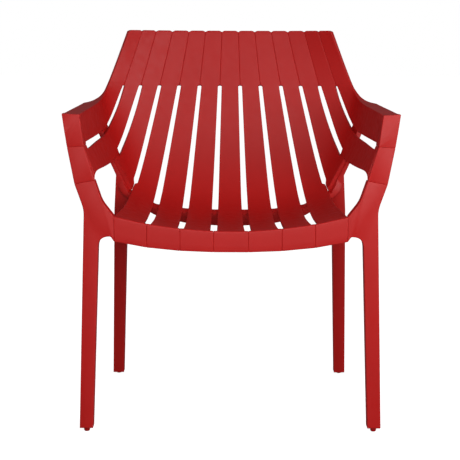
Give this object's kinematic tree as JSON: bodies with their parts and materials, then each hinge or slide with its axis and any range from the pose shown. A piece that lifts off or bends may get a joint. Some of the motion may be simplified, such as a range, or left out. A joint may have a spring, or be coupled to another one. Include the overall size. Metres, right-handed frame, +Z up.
{
  "type": "slatted armchair",
  "caption": "One-piece moulded plastic garden armchair with a fanned slatted shell, slotted arms, turned-down seat front and tapered legs on push-in glides.",
  "frame": {"origin": "centre of the overall box on the floor, under the glides", "axes": "+Z up, -Y the way the sitter faces, +X the right-hand side seen from in front"},
  "size_m": [0.652, 0.5474, 0.795],
  "materials": {
    "moulding": "fine matte texture, moulded-in red",
    "glide": "smooth matte, moulded-in red"
  },
  "bodies": {
    "root": {"seat_slat_middle": "moulding", "seat_slat_1_left": "moulding", "seat_slat_1_right": "moulding", "seat_slat_2_left": "moulding", "seat_slat_2_right": "moulding", "seat_slat_3_left": "moulding", "seat_slat_3_right": "moulding", "corner_slat_left": "moulding", "corner_slat_right": "moulding", "arm_slat_lower_left": "moulding", "arm_slat_lower_right": "moulding", "arm_slat_upper_left": "moulding", "arm_slat_upper_right": "moulding", "front_leg_left": "moulding", "front_leg_right": "moulding", "rear_leg_left": "moulding", "rear_leg_right": "moulding", "side_rib_left": "moulding", "side_rib_right": "moulding", "rear_rib": "moulding", "front_rail": "moulding", "front_glide_left": "glide", "front_glide_right": "glide", "rear_glide_left": "glide", "rear_glide_right": "glide"}
  },
  "joints": []
}
